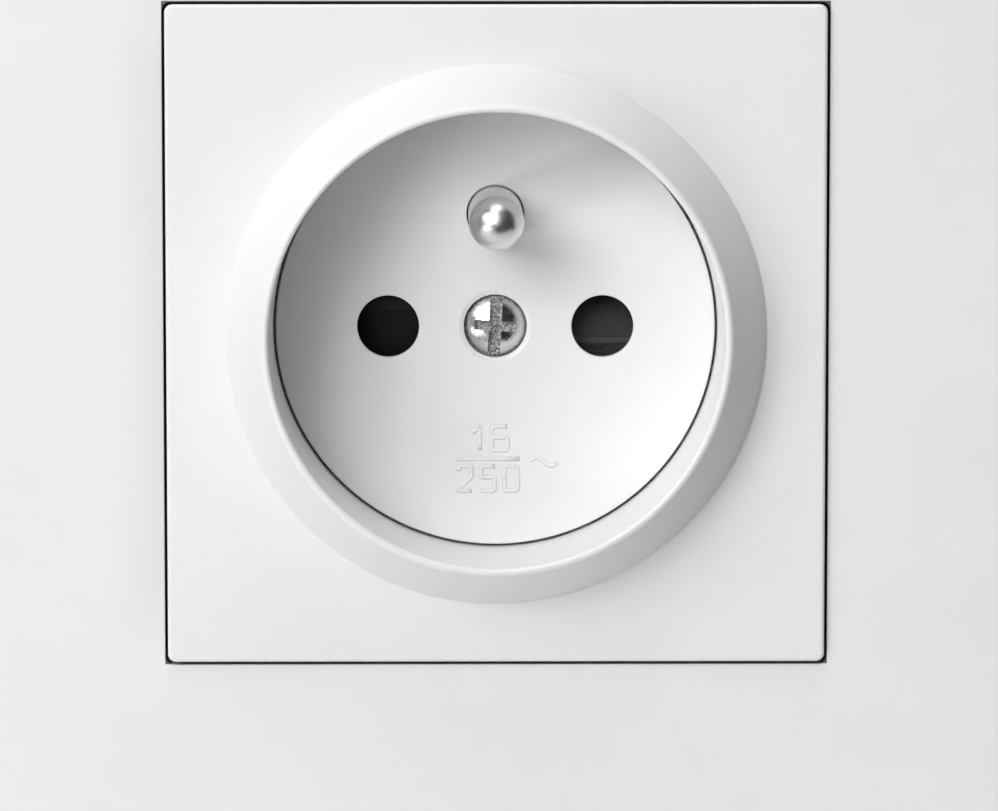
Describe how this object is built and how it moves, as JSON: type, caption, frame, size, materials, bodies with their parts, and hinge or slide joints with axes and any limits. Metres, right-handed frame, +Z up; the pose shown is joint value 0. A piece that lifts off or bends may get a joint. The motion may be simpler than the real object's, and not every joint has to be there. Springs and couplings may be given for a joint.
{
  "type": "single wall socket",
  "caption": "Square white flush wall socket with a raised round collar, an earth pin in its well, shuttered contact holes and a centre screw.",
  "frame": {"origin": "on the socket's axis in the plane of the wall, which is the back face of the mounting plate", "axes": "+Z up, +X to the right seen from the front, -Y out of the wall towards the user"},
  "size_m": [0.09, 0.039, 0.09],
  "materials": {
    "white_cover": "gloss",
    "white_insert": "satin",
    "shutter_plastic": "satin",
    "retainer_plastic": "satin",
    "nickel": "polished",
    "spring_steel": "bright drawn",
    "zinc_steel": "zinc plated",
    "brass": "stamped",
    "base_plastic": "moulded"
  },
  "bodies": {
    "socket": {"cover_frame": "white_cover", "centre_plate": "white_cover", "socket_insert": "white_insert", "shutter_spring": "spring_steel", "shutter_retainer": "retainer_plastic", "retainer_screws": "zinc_steel", "centre_screw": "nickel", "centre_nut": "brass", "earth_pin": "nickel", "earth_strap": "brass", "earth_clamp": "zinc_steel", "earth_screw": "zinc_steel", "line_contact": "brass", "neutral_contact": "brass", "contact_clips": "spring_steel", "line_clamp": "zinc_steel", "neutral_clamp": "zinc_steel", "line_screw": "zinc_steel", "neutral_screw": "zinc_steel", "base_body": "base_plastic", "mounting_plate": "zinc_steel", "base_rivets": "zinc_steel", "claw_screw_left": "zinc_steel", "claw_screw_right": "zinc_steel"},
    "shutter": {"shutter": "shutter_plastic"},
    "claw_left": {"claw_left": "zinc_steel"},
    "claw_right": {"claw_right": "zinc_steel"}
  },
  "joints": [
    {"name": "shutter_turn", "type": "hinge", "parent": "socket", "child": "shutter", "pos_m": [0, 0.0035, 0], "axis": [0, 1, 0], "range_deg": [0, 40], "stiffness_Nm_per_rad": 0.004, "springref_deg": -28.65, "deforming": ["shutter_spring"]},
    {"name": "claw_left_swing", "type": "hinge", "parent": "socket", "child": "claw_left", "pos_m": [-0.0169, 0.0074, 0.011], "axis": [0, 0, 1], "range_deg": [0, 22]},
    {"name": "claw_right_swing", "type": "hinge", "parent": "socket", "child": "claw_right", "pos_m": [0.0169, 0.0074, -0.011], "axis": [0, 0, -1], "range_deg": [0, 22]}
  ]
}
